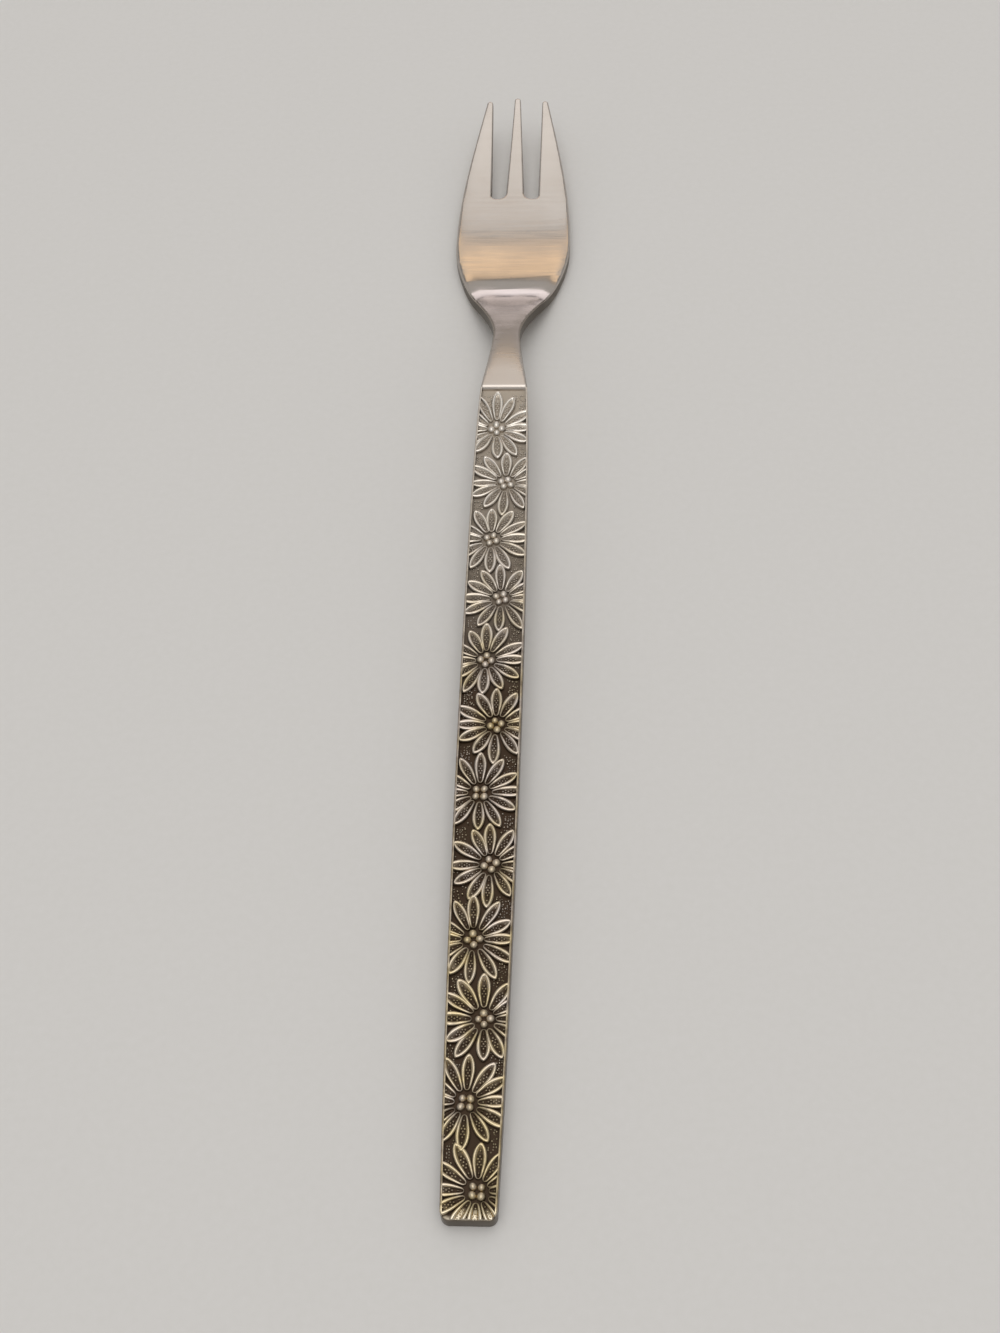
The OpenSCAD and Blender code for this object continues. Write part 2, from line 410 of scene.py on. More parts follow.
# %% Where the bends take the plate
head_t = 1.7
bowl_hollow = 0.2
hollow_run = 4
HAIR = 0.004
thin_y = [handle_len + neck_run, foot_y, root_y, tip_y]
thin_t = [handle_t, head_t, head_t, tip_t]
hollow_y = [foot_y - hollow_run, foot_y + hollow_run, root_y, tip_y]
hollow_z = [0, bowl_hollow, bowl_hollow, 0]


def bent(place):
    """Where a place in the flat plate goes when the plate is bent."""
    lean = np.interp(place.y, face_y, slope)
    depth = -place.z / handle_t * np.interp(place.y, thin_y, thin_t)
    lift = np.interp(place.y, hollow_y, hollow_z) * abs(place.x) / (bowl_w / 2)
    up = np.interp(place.y, face_y, face_z) - depth * math.cos(lean) + lift - HAIR
    return Vector((place.x, place.y + depth * math.sin(lean), up))


print("the foot of the bowl sinks to", round(bent(Vector((0, foot_y, 0))).z, 2), "mm")

# %% [markdown]
# Moving the rows one by one would do it, but a lattice does it in one go: its cage follows the rule, and
# the plate follows the cage. Weighted normals then let the broad faces decide the shading, so that the
# narrow faces along the cuts don't show in the mirror of the polish.

# %% The bends
cage_past = 0.4
cage_across, cage_along, cage_deep = 3, 64, 2
SMOOTH_ANGLE = math.radians(40)

cage_from = handle_len - 2 * overlap
cage_to = tip_y + cage_past
bpy.ops.object.select_all(action="DESELECT")
bpy.ops.object.add(type="LATTICE", location=(0, (cage_from + cage_to) / 2, -handle_t / 2))
cage = bpy.context.object
cage.scale = (bowl_w + cage_past, cage_to - cage_from, handle_t)
cage.data.points_u = cage_across
cage.data.points_v = cage_along
cage.data.points_w = cage_deep
cage.data.interpolation_type_v = "KEY_CARDINAL"
cage.data.interpolation_type_w = "KEY_LINEAR"
bpy.context.view_layer.update()
to_cage = cage.matrix_world.inverted()
for point in cage.data.points:
    point.co_deform = to_cage @ bent(cage.matrix_world @ point.co)

only(head)
bpy.ops.object.modifier_add(type="LATTICE")
head.modifiers[-1].object = cage
bpy.ops.object.modifier_apply(modifier=head.modifiers[-1].name)
bpy.data.objects.remove(cage)
bpy.ops.object.shade_smooth_by_angle(angle=SMOOTH_ANGLE)
bpy.ops.object.modifier_add(type="WEIGHTED_NORMAL")
head.modifiers[-1].keep_sharp = True
bpy.ops.object.modifier_apply(modifier=head.modifiers[-1].name)
seat(head)

# %% [markdown]
# The handle is a flat bar with gently swelling sides and two rounded corners at the butt. Its panel
# is sunk 0.5 mm deep between two thin rails and open at both ends. Both have the same long curve for a
# side. Such a curve passes its middle at an eighth of each end and three eighths of each handle, and that
# gives the place of the handles from the widest width.

# %% The outlines of bar and panel
butt_w = 4.95
butt_r = 0.8
handle_w = 6.45
butt_swell = 32
joint_swell = 11
rail_w = 0.2

swell = (handle_w / 2 - (butt_w + joint_w) / 16) * 4 / 3
joint_drift = (joint_w / 2 - swell) / joint_swell * past
butt_drift = (swell - butt_w / 2) / butt_swell * past
to_swell = Vector((swell - butt_w / 2, butt_swell))
from_swell = Vector((swell - joint_w / 2, -joint_swell))
butt_start, butt_stop = round_corner((0, 0), (butt_w / 2, 0), (swell, butt_swell), butt_r)
bar_half = [
    butt_start,
    (butt_stop[0], butt_stop[1], to_swell),
    knot(joint_w / 2, handle_len, arrive=from_swell),
    knot(joint_w / 2 + joint_drift, handle_len + past),
]
panel_half = [
    knot(butt_w / 2 - rail_w - butt_drift, -past),
    knot(butt_w / 2 - rail_w, 0, leave=to_swell),
    knot(joint_w / 2 - rail_w, handle_len, arrive=from_swell),
    knot(joint_w / 2 - rail_w + 2 * joint_drift, handle_len + 2 * past),
]
print("the sides' handles lie", round(swell, 2), "mm out")

# %% [markdown]
# The bar is cut as the head was. A second plate, narrower by the rails and longer than the bar, is taken
# away with a Boolean to sink the panel. At the joint line the bar is trimmed square, because there it runs
# straight on into the neck. At the butt the sharp edge that the cut leaves is broken with a small bevel.

# %% The handle bar
panel_depth = 0.5
rail_r = 0.12
butt_break = 0.12
break_steps = 3


def carve(piece, cutter, operation):
    """Takes the cutter away from a piece, or keeps only what lies inside the cutter."""
    only(piece)
    bpy.ops.object.modifier_add(type="BOOLEAN")
    boolean = piece.modifiers[-1]
    boolean.object = cutter
    boolean.operation = operation
    boolean.solver = "MANIFOLD"
    bpy.ops.object.modifier_apply(modifier=boolean.name)
    # This solver leaves an empty finish slot, and the finishes come later.
    piece.data.materials.clear()


def pick(piece, kind, test):
    """In edit mode, selects the verts, edges or faces that pass a test, and nothing else."""
    bpy.ops.mesh.select_all(action="DESELECT")
    bpy.ops.mesh.select_mode(type=kind[:4].upper())
    mesh = bmesh.from_edit_mesh(piece.data)
    for item in getattr(mesh, kind):
        item.select_set(test(item))
    bmesh.update_edit_mesh(piece.data)


bar = cut_blank("handle_bar_toned", both_sides(bar_half), handle_t, rail_r)
trim(bar, (0, handle_len, 0), (0, 1, 0))
cutter = cut_blank("panel_cutter", both_sides(panel_half), panel_depth + past, 0)
cutter.location.z = past
carve(bar, cutter, "DIFFERENCE")
bpy.data.objects.remove(cutter)
bpy.ops.object.mode_set(mode="EDIT")
pick(bar, "edges", lambda edge: edge.is_convex and all(
    abs(vert.co.z + panel_depth) < TOUCH and vert.co.y < butt_w for vert in edge.verts))
bpy.ops.mesh.bevel(offset=butt_break, segments=break_steps, affect="EDGES")
bpy.ops.object.mode_set(mode="OBJECT")
bpy.ops.object.shade_smooth_by_angle(angle=SMOOTH_ANGLE)
seat(bar)
print("bar:", len(bar.data.polygons), "faces")

# %% [markdown]
# Each daisy has twelve petals round four small balls. A petal is a leaf with a blunt point. It starts
# as a cylinder of sixteen sides and is stretched to an ellipse. Its pairs of corners are then moved out
# or in, so that it is widest past its middle and narrow at the tip and near the base.

# %% One petal's leaf
petal_count = 12
petal_start = 1.02
petal_tip = 4.48
petal_w = 1.36
petal_shoulder = 0.2
foot_sunk = 0.08
leaf_sides = 16
leaf_along = [-0.92, -0.71, -0.38, 0, 0.38, 0.71, 0.92]
leaf_shares = [1.1, 0.82, 0.87, 1, 1.04, 0.96, 0.8]

petal_mid = (petal_start + petal_tip) / 2
petal_half = (petal_tip - petal_start) / 2


def leaf_share(along):
    """How much wider than an ellipse a leaf is, from its base at -1 to its tip at 1."""
    return np.interp(along, leaf_along, leaf_shares)


bpy.ops.object.select_all(action="DESELECT")
bpy.ops.mesh.primitive_cylinder_add(vertices=leaf_sides, radius=1, depth=foot_sunk + petal_shoulder,
                                    location=(0, petal_mid, (petal_shoulder - foot_sunk) / 2))
petal = bpy.context.object
petal.name = "petal"
apply_place(petal)
bpy.ops.object.mode_set(mode="EDIT")
bpy.ops.mesh.select_all(action="SELECT")
bpy.ops.transform.resize(value=(petal_w / 2, petal_half, 1), center_override=(0, petal_mid, 0))
for k in range(1, leaf_sides // 2):
    along = math.cos(2 * math.pi * k / leaf_sides)
    pick(petal, "verts", lambda vert: abs(vert.co.y - petal_mid - along * petal_half) < TOUCH)
    bpy.ops.transform.resize(value=(leaf_share(along), 1, 1), center_override=(0, petal_mid, 0))
bpy.ops.object.mode_set(mode="OBJECT")
print("leaf:", [round(size, 2) for size in petal.dimensions], "mm")

# %% [markdown]
# The petal is struck as a thick raised rim round a sunk floor. The top of the leaf is extruded in rings:
# up, in, and down again to the floor. The rings shrink towards a place near the base, so that the rim is
# thick at the tip and thin where the petal opens to the middle. A subdivision surface then rounds
# everything, as a coining die would. A ring is its height and its shares of the leaf's width and length.

# %% The petal's rim and floor
petal_rings = [
    (0.36, 0.97, 0.985),
    (0.43, 0.75, 0.93),
    (0.38, 0.46, 0.86),
    (0.17, 0.34, 0.81),
    (0.15, 0.18, 0.5),
]
eye_share = 0.2
petal_levels = 2
FACES_UP = 0.9

petal_eye = petal_start + eye_share * 2 * petal_half
bpy.ops.object.mode_set(mode="EDIT")
pick(petal, "faces", lambda face: face.normal.z > FACES_UP)
height, wide, long = petal_shoulder, 1, 1
for ring_height, ring_wide, ring_long in petal_rings:
    bpy.ops.mesh.extrude_region_move(TRANSFORM_OT_translate={"value": (0, 0, ring_height - height)})
    bpy.ops.transform.resize(value=(ring_wide / wide, ring_long / long, 1),
                             center_override=(0, petal_eye, 0))
    height, wide, long = ring_height, ring_wide, ring_long
bpy.ops.object.mode_set(mode="OBJECT")
bpy.ops.object.modifier_add(type="SUBSURF")
petal.modifiers[-1].levels = petal_levels
petal.modifiers[-1].render_levels = petal_levels
bpy.ops.object.modifier_apply(modifier=petal.modifiers[-1].name)
print("petal:", len(petal.data.polygons), "faces,", [round(size, 2) for size in petal.dimensions], "mm")

# %% [markdown]
# The grains on the petal's floor stand in staggered rows. One grain is modelled, a small flattened
# ball of twenty faces, and copied to every place of the rows that lies inside the rim. The real grains
# are finer, about 0.15 mm, and are made coarser here so that they show.

# %% Grains on the petal
grain_r = 0.105
grain_flat = 0.8
grain_step = 0.29
grain_rows = 0.87
grain_from = 0.6
grain_z = 0.23
floor_ring = 3


def petal_half_at(y):
    """Half the width of the petal at a distance from the daisy's middle."""
    along = (y - petal_mid) / petal_half
    if abs(along) >= 1:
        return 0
    return petal_w / 2 * math.sqrt(1 - along * along) * leaf_share(along)


def floor_half(y):
    """Half the width of the petal's floor at a distance from the daisy's middle."""
    _, wide, long = petal_rings[floor_ring]
    return wide * petal_half_at(petal_eye + (y - petal_eye) / long)


def copy_of(piece, place=(0, 0, 0)):
    """A copy with its own mesh, moved by a step."""
    only(piece)
    bpy.ops.object.duplicate()
    bpy.ops.transform.translate(value=place)
    return bpy.context.object


def flat_ball(radius, share):
    """A ball of twenty faces about the origin, pressed flatter."""
    bpy.ops.object.select_all(action="DESELECT")
    bpy.ops.mesh.primitive_ico_sphere_add(subdivisions=1, radius=radius)
    bpy.ops.object.mode_set(mode="EDIT")
    bpy.ops.transform.resize(value=(1, 1, share))
    bpy.ops.object.mode_set(mode="OBJECT")
    return bpy.context.object


grain = flat_ball(grain_r, grain_flat)
grain.name = "grain"
grains = []
for row, grain_y in enumerate(np.arange(petal_start + grain_from, petal_tip, grain_step * grain_rows)):
    shift = grain_step / 2 if row % 2 else 0
    for grain_x in (-grain_step + shift, shift, grain_step + shift):
        if abs(grain_x) < floor_half(grain_y) - grain_r / 2:
            grains.append(copy_of(grain, (grain_x, grain_y, grain_z)))
only(petal, *grains)
bpy.ops.object.join()
apply_place(petal)
print(len(grains), "grains on a petal")

# %% [markdown]
# The four balls in the middle stand on the ground like shot. A ball is a sphere cut off below the
# ground, so that nothing hidden is left. The petals sink towards the balls, as into a shallow dish.

# %% One ball, and the dish round the balls
bead_count = 4
bead_d = 0.8
bead_h = 0.5
bead_sides = 20
bead_rings = 12
dish_r = 2.1
dish_share = 0.6

bead_ring = bead_d / 2 / math.sin(math.pi / bead_count)
bpy.ops.object.select_all(action="DESELECT")
bpy.ops.mesh.primitive_uv_sphere_add(segments=bead_sides, ring_count=bead_rings, radius=bead_d / 2,
                                     location=(bead_ring, 0, bead_h - bead_d / 2))
bead = bpy.context.object
apply_place(bead)
trim(bead, (0, 0, -foot_sunk), (0, 0, -1))

places = mesh_places(petal)
places[:, 2] *= np.interp(places[:, 1], [petal_start, dish_r], [dish_share, 1])
put_places(petal, places)
print("ball:", len(bead.data.polygons), "faces,", round(bead_ring, 2), "mm from the middle")

# %% [markdown]
# Petals and balls are copied round the middle and joined to one daisy. Dies were cut by hand and are
# never quite even, so every petal and ball differs a little in size, every petal in turn and lean, and
# no two daisies are alike. The dice are seeded, so the same daisies grow each time.

# %% How a daisy grows
bead_play = 0.1
size_play = 0.08
turn_play = math.radians(4)
lean_play = 0.32
DICE_SEED = 12
dice = random.Random(DICE_SEED)


def turned_copy(piece, angle, wide=1, long=1, lean=0):
    """A copy of a part of the daisy, stretched, leant to one side, then turned about the middle."""
    twin = copy_of(piece)
    places = mesh_places(twin)
    places[:, 2] *= 1 + lean * places[:, 0]
    places *= (wide, long, 1)
    put_places(twin, places)
    bpy.ops.transform.rotate(value=angle, orient_axis="Z", center_override=(0, 0, 0))
    return twin


def grow_daisy():
    """One daisy about the origin, each petal a little different."""
    parts = []
    for k in range(petal_count):
        angle = 2 * math.pi * k / petal_count + dice.uniform(-turn_play, turn_play)
        wide, long = (1 + dice.uniform(-size_play, size_play) for _ in range(2))
        parts.append(turned_copy(petal, angle, wide, long, dice.uniform(-lean_play, lean_play)))
    first_bead = dice.uniform(0, math.pi)
    for k in range(bead_count):
        wide, long = (1 + dice.uniform(-bead_play, bead_play) for _ in range(2))
        parts.append(turned_copy(bead, first_bead + 2 * math.pi * k / bead_count, wide, long))
    only(*parts)
    bpy.ops.object.join()
    apply_place(parts[0])
    return parts[0]


print("a daisy joins", petal_count + bead_count, "parts")

# %% [markdown]
# What reaches past the rails and the butt has to go. A Boolean keeps only what lies inside a block with
# the outline of the panel, which bites a little into the rails, so that no gap shows beside them.

# %% The block that trims the daisies
rail_bite = 0.05

block_in = rail_w - rail_bite
block_butt = Vector((butt_w / 2 - block_in, rail_bite))
butt_start, butt_stop = round_corner((0, rail_bite), block_butt, block_butt + to_swell, butt_r - block_in)
block_half = [
    butt_start,
    (butt_stop[0], butt_stop[1], to_swell),
    knot(joint_w / 2 - block_in, handle_len, arrive=from_swell),
    knot(joint_w / 2 - block_in + joint_drift, handle_len + past),
]
block = cut_blank("panel_block", both_sides(block_half), 2 * past, 0)
block.location.z = past

# %% [markdown]
# Twelve daisies run down the panel in a zigzag, and their petals mesh like gear teeth. The first daisy
# reaches further up, to the step of the neck. At the butt the petals are worn round by use, so their last
# half millimetre sinks towards the edge.

# %% The chain of daisies
daisy_count = 12
first_daisy = 6.3
last_daisy = 2.5
zigzag = 0.65
neck_stretch = 1.28
worn_end = 0.5
worn_drop = 0.1
RELIEF_ANGLE = math.radians(60)

pitch = (handle_len - first_daisy - last_daisy) / (daisy_count - 1)
daisies = []
daisy_places = []
for i in range(daisy_count):
    place = Vector((zigzag if i % 2 else -zigzag, handle_len - first_daisy - i * pitch, -panel_depth))
    bloom = grow_daisy()
    if i == 0:
        places = mesh_places(bloom)
        places[:, 1] *= np.where(places[:, 1] > 0, neck_stretch, 1)
        put_places(bloom, places)
    bpy.ops.transform.translate(value=place)
    apply_place(bloom)
    carve(bloom, block, "INTERSECT")
    bpy.ops.object.shade_smooth_by_angle(angle=RELIEF_ANGLE)
    places = mesh_places(bloom)
    places[:, 2] -= worn_drop * np.clip(1 - places[:, 1] / worn_end, 0, 1) ** 2
    put_places(bloom, places)
    seat(bloom)
    bloom.name = f"daisy_relief_{i + 1:02d}"
    daisies.append(bloom)
    daisy_places.append(place)
for spare in (petal, grain, bead, block):
    bpy.data.objects.remove(spare)
print(len(daisies), "daisies,", sum(len(bloom.data.polygons) for bloom in daisies), "faces")

# %% [markdown]
# In the corners between the daisies and the rails the ground is stippled. A grid over the whole panel gives
# the places, the ones under daisies and along the middle are deleted, and the rest are shaken, as a punch
# held by hand would set them. The side of the panel is read from the curve that drew it.

# %% Where the stipple stands
dot_r = 0.11
dot_step = 0.26
dot_shake = 0.16
petal_room = 0.1
clear_ring = 2.2
corner_w = 1.5
plain_end = 0.8
SHAKE_SEED = 4
SIDE_STEPS = 60

t = np.linspace(0, 1, SIDE_STEPS)
side_x = (1 - t) ** 3 * butt_w / 2 + 3 * t * (1 - t) * swell + t ** 3 * joint_w / 2
side_y = 3 * (1 - t) * t * ((1 - t) * butt_swell + t * (handle_len - joint_swell)) + t ** 3 * handle_len


def panel_half_at(y):
    """Half the width of the panel at a distance from the butt."""
    return np.interp(y, side_y, side_x) - rail_w


def on_daisy(away):
    """True where a petal, or the ring round the balls, covers a place seen from the daisy's middle."""
    apart = 2 * math.pi / petal_count
    off = (math.atan2(away.y, away.x) + apart / 2) % apart - apart / 2
    along = away.length * math.cos(off)
    aside = away.length * abs(math.sin(off))
    return away.length < clear_ring or aside < petal_half_at(along) + petal_room


def bare_corner(spot):
    """True where a dot stands near a rail, clear of the petals and of the ends of the panel."""
    inside = panel_half_at(spot.y) - abs(spot.x)
    if not dot_r < inside < corner_w or not dot_step < spot.y < handle_len - plain_end:
        return False
    return not any(on_daisy(spot.xy - place.xy) for place in daisy_places)


bpy.ops.object.select_all(action="DESELECT")
bpy.ops.mesh.primitive_grid_add(x_subdivisions=round(handle_w / dot_step), size=1,
                                y_subdivisions=round(handle_len / dot_step),
                                location=(0, handle_len / 2, -panel_depth))
spots = bpy.context.object
spots.scale = (handle_w, handle_len, 1)
apply_place(spots)
bpy.ops.object.mode_set(mode="EDIT")
pick(spots, "verts", lambda vert: not bare_corner(vert.co))
bpy.ops.mesh.delete(type="VERT")
bpy.ops.mesh.select_all(action="SELECT")
bpy.ops.mesh.delete(type="EDGE_FACE")
bpy.ops.mesh.select_all(action="SELECT")
bpy.ops.transform.vertex_random(offset=dot_shake, seed=SHAKE_SEED)
bpy.ops.object.mode_set(mode="OBJECT")
print(len(spots.data.vertices), "places for dots")

# %% [markdown]
# One dot is modelled and instanced on every place that is left. The instances are then made real, each
# with its own mesh, and joined to one piece, because hundreds of loose dots would only be in the way.

# %% The stipple's dots
dot_flat = 0.9

dot = flat_ball(dot_r, dot_flat)
dot.parent = spots
spots.instance_type = "VERTS"
only(spots)
bpy.ops.object.duplicates_make_real()
dots = [piece for piece in bpy.context.selected_objects if piece != spots]
bpy.data.objects.remove(spots)
bpy.data.objects.remove(dot)
only(*dots)
bpy.ops.object.make_single_user(object=True, obdata=True)
bpy.ops.object.join()
stipple = bpy.context.object
stipple.name = "ground_stipple"
apply_place(stipple)
bpy.ops.object.shade_smooth()
seat(stipple)
print(len(dots), "dots,", len(stipple.data.polygons), "faces of stipple")

# %% [markdown]
# Colours are written as on a paint chart, in sRGB, and turned to the linear values that light needs.
# One function adds a node, sets its options, and fills each socket with a value or with a link.
# Patterns are given by their real size in millimetres.

# %% Colours and nodes
FACTOR, COLOUR_A, COLOUR_B, COLOUR_OUT = 0, 6, 7, 2


def linear(chart):
    """A colour such as #c8c0b8 as linear red, green, blue and alpha."""
    shares = [int(chart[k:k + 2], 16) / 255 for k in (1, 3, 5)]
    return [s / 12.92 if s <= 0.04045 else ((s + 0.055) / 1.055) ** 2.4 for s in shares] + [1]


def add(tree, kind, sockets=(), **options):
    """Adds a node with its options, and fills its sockets from values or from other nodes' outputs."""
    node = tree.nodes.new(kind)
    for name, value in options.items():
        setattr(node, name, value)
    for socket, value in dict(sockets).items():
        if isinstance(value, bpy.types.NodeSocket):
            tree.links.new(value, node.inputs[socket])
        else:
            node.inputs[socket].default_value = value
    return node


def new_material(name):
    """An empty material and its node tree."""
    material = bpy.data.materials.new(name)
    material.use_nodes = True
    material.node_tree.nodes.clear()
    return material, material.node_tree


def per_metre(*sizes_mm):
    """Pattern sizes in millimetres as the scale of a pattern on coordinates in metres."""
    return [1 / (size * MM) for size in sizes_mm]


def bench_y(y):
    """A place along the bench as a place along the frame; the small tilt hardly shortens it."""
    return bench_origin.y + y * MM


print("a middle grey on the chart is", round(linear("#808080")[0], 3), "to the light")

# %% [markdown]
# The head is stainless steel, polished and then used for years. Polish makes it mirror the room, and
# wear breaks the mirror into fine hairlines that run mostly across, with a few scratches askew and some
# duller clouds where fingers touch it. The hairlines are noise, drawn out long in one direction. Real
# ones are a few hundredths of a millimetre wide, finer than a pixel, so they are drawn about three times
# as wide. The wheel doesn't reach well into the bend of the neck: there the steel is duller and its
# hairlines are fainter. Its colour there is darkened to a grey as painted shade.

# %% Stainless steel
hairline_mm = (5, 0.12, 0.12)
scratch_mm = (7, 0.16, 0.16)
scratch_turn = math.radians(62)
cloud_mm = 6
worn_from, worn_to = 1.2, 1.8
line_deep = 0.003
line_in_bend, line_on_bowl = 0.04, 0.15
# Painted shade: where the darker grey in the bend of the neck grows, is full, wanes and is gone.
bend_shade_from = bench_y(handle_len + 3)
bend_shade_full = bench_y(foot_y - 8.5)
bend_shade_wanes = bench_y(foot_y - 0.5)
bend_shade_gone = bench_y(foot_y + 1.8)
dull_from = bench_y(foot_y - 5)
dull_to = bench_y(foot_y)


def stainless(name, light, dark, tint, rough_from, rough_to, dull=0):
    """Stainless steel between two colours and two roughnesses, darkened by painted shade in the bend of the
    neck.
    """
    material, tree = new_material(name)
    place = add(tree, "ShaderNodeTexCoord").outputs["Object"]
    along = add(tree, "ShaderNodeSeparateXYZ", {0: place}).outputs["Y"]
    across = add(tree, "ShaderNodeMapping", {"Vector": place, "Scale": per_metre(*hairline_mm)})
    askew = add(tree, "ShaderNodeMapping", {"Vector": place, "Rotation": (0, 0, scratch_turn),
                                            "Scale": per_metre(*scratch_mm)})
    hairlines = add(tree, "ShaderNodeTexNoise", {"Vector": across.outputs[0], "Scale": 1, "Detail": 2})
    scratches = add(tree, "ShaderNodeTexNoise", {"Vector": askew.outputs[0], "Scale": 1, "Detail": 1})
    clouds = add(tree, "ShaderNodeTexNoise", {"Vector": place, "Scale": per_metre(cloud_mm)[0],
                                              "Detail": 3})
    lines = add(tree, "ShaderNodeMath", {0: hairlines.outputs[0], 1: scratches.outputs[0]},
                operation="ADD")
    worn = add(tree, "ShaderNodeMath", {0: lines.outputs[0], 1: clouds.outputs[0]}, operation="ADD")
    colour = add(tree, "ShaderNodeMix", {FACTOR: clouds.outputs[0], COLOUR_A: linear(light),
                                         COLOUR_B: linear(dark)}, data_type="RGBA")
    rough = add(tree, "ShaderNodeMapRange", {"Value": worn.outputs[0], "From Min": worn_from,
                                             "From Max": worn_to, "To Min": rough_from, "To Max": rough_to})
    # Painted shade: the colour turns to the darker grey in the bend of the neck.
    bend_shade_grows = add(tree, "ShaderNodeMapRange", {"Value": along, "From Min": bend_shade_from, "From Max": bend_shade_full})
    bend_shade_fades = add(tree, "ShaderNodeMapRange", {"Value": along, "From Min": bend_shade_wanes, "From Max": bend_shade_gone,
                                             "To Min": 1, "To Max": 0})
    bend_shade_share = add(tree, "ShaderNodeMath", {0: bend_shade_grows.outputs[0], 1: bend_shade_fades.outputs[0]}, operation="MULTIPLY")
    bend_shaded_colour = add(tree, "ShaderNodeMix", {FACTOR: bend_shade_share.outputs[0], COLOUR_A: colour.outputs[COLOUR_OUT],
                                         COLOUR_B: linear(tint)}, data_type="RGBA")
    bend = add(tree, "ShaderNodeMapRange", {"Value": along, "From Min": dull_from, "From Max": dull_to,
                                            "To Min": dull, "To Max": 0})
    duller = add(tree, "ShaderNodeMath", {0: rough.outputs[0], 1: bend.outputs[0]}, operation="ADD")
    depth = add(tree, "ShaderNodeMapRange", {"Value": along, "From Min": dull_from, "From Max": dull_to,
                                             "To Min": line_in_bend, "To Max": line_on_bowl})
    bump = add(tree, "ShaderNodeBump", {"Height": lines.outputs[0], "Strength": depth.outputs[0],
                                        "Distance": line_deep * MM})
    steel = add(tree, "ShaderNodeBsdfPrincipled", {
        "Base Color": bend_shaded_colour.outputs[COLOUR_OUT], "Metallic": 1, "Roughness": duller.outputs[0],
        "Normal": bump.outputs[0]})
    add(tree, "ShaderNodeOutputMaterial", {"Surface": steel.outputs[0]})
    print(name, "is ready")
    return material


# %% [markdown]
# The head is polished. Its sides, and later those of the handle, are as rough as a sheared strip, and their
# darker grey is painted shade. The back of the handle is only buffed. A finish is given to the faces that
# look the right way.

# %% Polished, buffed, and sides in painted shade
STEEP = 0.5
step_end = bench_y(handle_len + roll_w)


def give_finish(piece, index, test):
    """Gives one of a piece's finishes to the faces that pass a test."""
    only(piece)
    bpy.ops.object.mode_set(mode="EDIT")
    pick(piece, "faces", test)
    piece.active_material_index = index
    bpy.ops.object.material_slot_assign()
    bpy.ops.object.mode_set(mode="OBJECT")


# The third colour of each steel is its painted shade in the bend of the neck.
polished = stainless("polished_stainless_steel", "#dbd2c9", "#cdc2b7", "#a89d92", 0.09, 0.18, dull=0.18)
buffed = stainless("buffed_stainless_steel", "#c8c0b6", "#b3aa9f", "#b3aa9f", 0.2, 0.34)
# Painted shade: the sides are given a dark grey; only their roughness is that of a sheared edge.
painted_shade_steel = stainless("side_steel_in_painted_shade", "#756c61", "#574f45", "#574f45", 0.32, 0.46)
for finish in (polished, painted_shade_steel):
    head.data.materials.append(finish)
give_finish(head, 1, lambda face: abs(face.normal.z) < STEEP and (
    abs(face.normal.x) > STEEP or face.calc_center_median().y > step_end))
print("sheared faces of the head:", sum(face.material_index for face in head.data.polygons))

# %% [markdown]
# The handle was toned after striking: a brown oxide filled the whole panel and was buffed off what
# stands high. So the tone follows the height over the ground. The height is the distance along the
# panel's own normal, read from Object coordinates: no light and no camera comes into it.
# The oxide is a film as thin as light waves, so it shimmers from gold to lilac in soft patches, most
# golden near the butt. Towards the neck the oxide and the steel are painted lighter, as painted light for
# the brightness that end catches.

# %% Heights and tones of the handle
panel_normal = Vector((0, -math.sin(tilt), math.cos(tilt)))
ground_level = panel_normal.dot(bench_origin) - panel_depth * MM
butt_level = bench_y(0)
joint_level = bench_y(handle_len)
# Painted light: from here to the joint the handle's oxide and steel turn lighter.
painted_light_from = bench_y(54)
gold_end = bench_y(40)
gold_most, gold_least = -1.5, -0.85
film_gain = 3
film_mm = 3
# The last steel and oxide colours are painted light for the lighter neck end; the steel one also for the
# highlight on the butt's lip.
gold_steel, lilac_steel, painted_light_steel = "#c9b790", "#cfc2b5", "#e9e2d8"
gold_oxide, lilac_oxide, painted_light_oxide = "#37240a", "#3d2913", "#b8ac9c"
print("the ground lies", round(ground_level / MM, 2), "mm up the panel's normal")

# %% [markdown]
# Noise makes the edge of the tone uneven, and along the lip of the butt the colour is lifted almost to bare
# steel as a painted highlight. The oxide is dull and no metal, so where it lies the surface is rougher and
# less metallic. A fine grit, about a tenth of a millimetre wide, keeps the struck ground from looking like
# glass.

# %% Toned and worn steel
patch_mm = 0.9
patch_from, patch_to = 0.3, 0.7
patch_play = 0.28
grit_mm = 0.09
grit_deep = 0.012
grit_strength = 0.55
# Painted highlight: over this last stretch of the butt the colour is lifted towards light steel.
lip_highlight_end = bench_y(1.2)
lip_highlight_lift = 1.5
lip_highlight_share = 0.35
oxide_metal = 0.5
oxide_rough = 0.5


